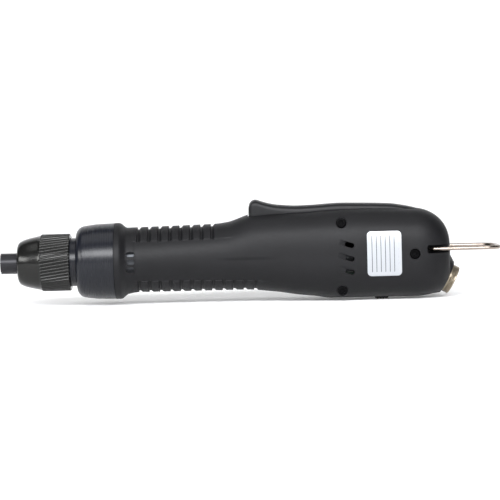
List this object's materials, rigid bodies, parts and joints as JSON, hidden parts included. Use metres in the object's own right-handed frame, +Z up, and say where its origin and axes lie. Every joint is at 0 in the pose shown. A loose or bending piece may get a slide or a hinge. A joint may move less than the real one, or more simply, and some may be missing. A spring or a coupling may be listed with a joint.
{
  "type": "electric torque screwdriver",
  "caption": "Straight hand-held electric screwdriver with a lever start, quick-change hex chuck, adjustable torque nut, rear cord connector and hanging bail.",
  "frame": {"origin": "centre of the bit sleeve's mouth, on the spindle's axis", "axes": "+X from the nose to the tail along the spindle, +Z up on the start lever's side, -Y is the labelled side"},
  "size_m": [0.2738, 0.0442, 0.0561],
  "materials": {
    "moulded_black_plastic": "fine moulded texture, matt black",
    "lever_plastic": "satin moulded black",
    "dark_plastic": "moulded",
    "blackened_steel": "black oxide",
    "anodised_collar": "satin blue-black anodised",
    "anodised_nut": "dark anodised, knurled",
    "steel": "ground steel",
    "ball_steel": "polished",
    "spring_steel": "bright drawn wire",
    "bronze": "sintered bronze",
    "bright_case_metal": "machined",
    "magnet": "ferrite",
    "core_steel": "stacked laminations",
    "copper": "enamelled copper",
    "carbon": "pressed carbon",
    "circuit_board": "solder mask",
    "plunger_plastic": "moulded",
    "nickel": "satin nickel plate",
    "contact_gold": "gold flashed",
    "label_film": "silver polyester film",
    "wire_insulation": "PVC"
  },
  "bodies": {
    "housing": {"housing_left": "moulded_black_plastic", "housing_right": "moulded_black_plastic", "housing_screws": "blackened_steel", "front_collar": "anodised_collar", "gearbox_cover": "bright_case_metal", "output_bearing": "steel", "ring_gear": "bright_case_metal", "motor_can": "bright_case_metal", "motor_magnets": "magnet", "motor_bearings": "steel", "motor_end_cap": "dark_plastic", "carbon_brushes": "carbon", "brush_springs": "bronze", "control_board": "circuit_board", "board_components": "dark_plastic", "start_switch": "dark_plastic", "lever_pin": "steel", "lever_spring": "spring_steel", "reverse_switch": "dark_plastic", "connector_shell": "nickel", "connector_insert": "dark_plastic", "connector_pins": "contact_gold", "connector_nut": "nickel", "rating_label": "label_film", "motor_leads": "wire_insulation", "connector_leads": "wire_insulation"},
    "seat": {"spring_seat": "steel", "front_bush": "bronze", "clutch_spring": "spring_steel"},
    "nut": {"torque_nut": "anodised_nut"},
    "plate": {"pressure_plate": "steel", "thrust_races": "steel", "thrust_balls": "ball_steel"},
    "spindle": {"spindle": "steel", "bit_lock_balls": "ball_steel", "sleeve_clip": "blackened_steel", "sleeve_spring": "spring_steel", "clutch_balls": "ball_steel", "clutch_cam": "steel", "output_carrier": "steel", "output_planet_pins": "steel"},
    "sleeve": {"bit_sleeve": "blackened_steel"},
    "output_planet_1": {"output_planet_1": "bronze"},
    "output_planet_2": {"output_planet_2": "bronze"},
    "output_planet_3": {"output_planet_3": "bronze"},
    "motor_stage": {"motor_stage_carrier": "steel", "motor_planet_pins": "steel"},
    "motor_planet_1": {"motor_planet_1": "bronze"},
    "motor_planet_2": {"motor_planet_2": "bronze"},
    "motor_planet_3": {"motor_planet_3": "bronze"},
    "rotor": {"motor_pinion": "steel", "motor_shaft": "steel", "armature_core": "core_steel", "armature_windings": "copper", "commutator": "copper"},
    "lever": {"start_lever": "lever_plastic"},
    "plunger": {"switch_plunger": "plunger_plastic"},
    "knob": {"reverse_knob": "dark_plastic"},
    "bail": {"bail": "spring_steel"}
  },
  "joints": [
    {"name": "spindle_spin", "type": "hinge", "parent": "housing", "child": "spindle", "pos_m": [0.05, 0, 0], "axis": [1, 0, 0], "continuous": true},
    {"name": "motor_stage_spin", "type": "hinge", "parent": "housing", "child": "motor_stage", "pos_m": [0.08, 0, 0], "axis": [1, 0, 0], "continuous": true},
    {"name": "rotor_spin", "type": "hinge", "parent": "housing", "child": "rotor", "pos_m": [0.11, 0, 0], "axis": [1, 0, 0], "continuous": true},
    {"name": "output_planet_1_spin", "type": "hinge", "parent": "spindle", "child": "output_planet_1", "pos_m": [0.075, 0, 0.0081], "axis": [1, 0, 0], "continuous": true},
    {"name": "output_planet_2_spin", "type": "hinge", "parent": "spindle", "child": "output_planet_2", "pos_m": [0.075, -0.00701, -0.00405], "axis": [1, 0, 0], "continuous": true},
    {"name": "output_planet_3_spin", "type": "hinge", "parent": "spindle", "child": "output_planet_3", "pos_m": [0.075, 0.00701, -0.00405], "axis": [1, 0, 0], "continuous": true},
    {"name": "motor_planet_1_spin", "type": "hinge", "parent": "motor_stage", "child": "motor_planet_1", "pos_m": [0.085, 0, 0.0081], "axis": [1, 0, 0], "continuous": true},
    {"name": "motor_planet_2_spin", "type": "hinge", "parent": "motor_stage", "child": "motor_planet_2", "pos_m": [0.085, -0.00701, -0.00405], "axis": [1, 0, 0], "continuous": true},
    {"name": "motor_planet_3_spin", "type": "hinge", "parent": "motor_stage", "child": "motor_planet_3", "pos_m": [0.085, 0.00701, -0.00405], "axis": [1, 0, 0], "continuous": true},
    {"name": "seat_slide", "type": "slide", "parent": "housing", "child": "seat", "axis": [1, 0, 0], "range_m": [-0.00451, 0.00271], "deforming": ["clutch_spring"]},
    {"name": "torque_nut_turn", "type": "hinge", "parent": "seat", "child": "nut", "pos_m": [0.03, 0, 0], "axis": [1, 0, 0], "range_deg": [-1080, 648]},
    {"name": "clutch_lift", "type": "slide", "parent": "housing", "child": "plate", "axis": [-1, 0, 0], "range_m": [0, 0.001], "stiffness_N_per_m": 3000, "springref_m": -0.008, "deforming": ["clutch_spring"]},
    {"name": "sleeve_slide", "type": "slide", "parent": "spindle", "child": "sleeve", "axis": [1, 0, 0], "range_m": [0, 0.003], "stiffness_N_per_m": 600, "springref_m": -0.003, "deforming": ["sleeve_spring"]},
    {"name": "lever_press", "type": "hinge", "parent": "housing", "child": "lever", "pos_m": [0.222, 0, 0.0215], "axis": [0, -1, 0], "range_deg": [0, 2.7], "stiffness_Nm_per_rad": 2, "springref_deg": -2.86, "deforming": ["lever_spring"]},
    {"name": "plunger_slide", "type": "slide", "parent": "housing", "child": "plunger", "axis": [0, 0, -1], "range_m": [0, 0.0029]},
    {"name": "knob_slide", "type": "slide", "parent": "housing", "child": "knob", "axis": [1, 0, 0], "range_m": [-0.0018, 0.0018]},
    {"name": "bail_swing", "type": "hinge", "parent": "housing", "child": "bail", "pos_m": [0.235, 0, 0.003], "axis": [0, -1, 0], "range_deg": [-5, 5]}
  ],
  "couplings": [
    {"joint": "motor_stage_spin", "follows": "spindle_spin", "ratio": 4.5},
    {"joint": "rotor_spin", "follows": "spindle_spin", "ratio": 20.25},
    {"joint": "output_planet_1_spin", "follows": "spindle_spin", "ratio": -2.8},
    {"joint": "output_planet_2_spin", "follows": "spindle_spin", "ratio": -2.8},
    {"joint": "output_planet_3_spin", "follows": "spindle_spin", "ratio": -2.8},
    {"joint": "motor_planet_1_spin", "follows": "spindle_spin", "ratio": -12.6},
    {"joint": "motor_planet_2_spin", "follows": "spindle_spin", "ratio": -12.6},
    {"joint": "motor_planet_3_spin", "follows": "spindle_spin", "ratio": -12.6},
    {"joint": "seat_slide", "follows": "torque_nut_turn", "m_per_rad": 0.00023873},
    {"joint": "plunger_slide", "follows": "lever_press", "m_per_rad": 0.059}
  ]
}
